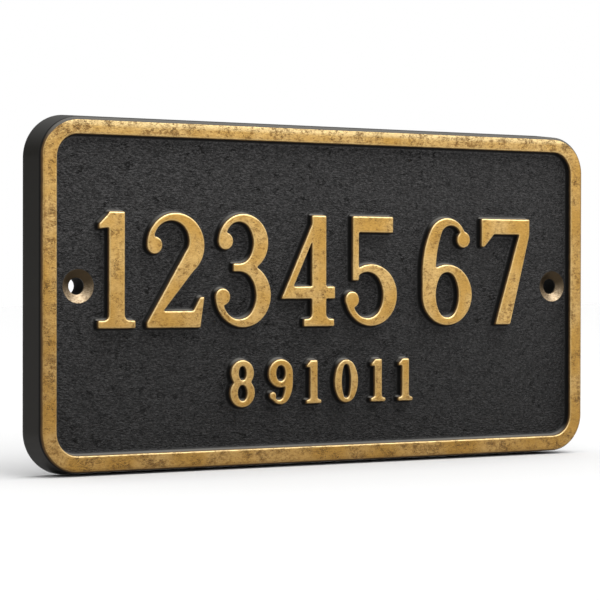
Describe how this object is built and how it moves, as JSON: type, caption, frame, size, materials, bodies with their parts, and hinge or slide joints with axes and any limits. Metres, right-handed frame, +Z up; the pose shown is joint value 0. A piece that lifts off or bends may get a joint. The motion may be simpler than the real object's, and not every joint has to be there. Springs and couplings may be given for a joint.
{
  "type": "house number plaque",
  "caption": "Cast rectangular wall plaque with rounded corners, a raised rim, raised numerals on a sunk textured field and countersunk screw holes.",
  "frame": {"origin": "midway between the two screw holes, on the flat back that lies on the wall", "axes": "+X along the plaque to the reader's right, +Y into the wall, +Z up"},
  "size_m": [0.2127, 0.0117, 0.1128],
  "materials": {
    "cast_brass": "sand-cast brass, blackened on the field, sides and back, with the rim and numerals relieved to worn satin brass"
  },
  "bodies": {
    "root": {"cast_plaque": "cast_brass"}
  },
  "joints": []
}
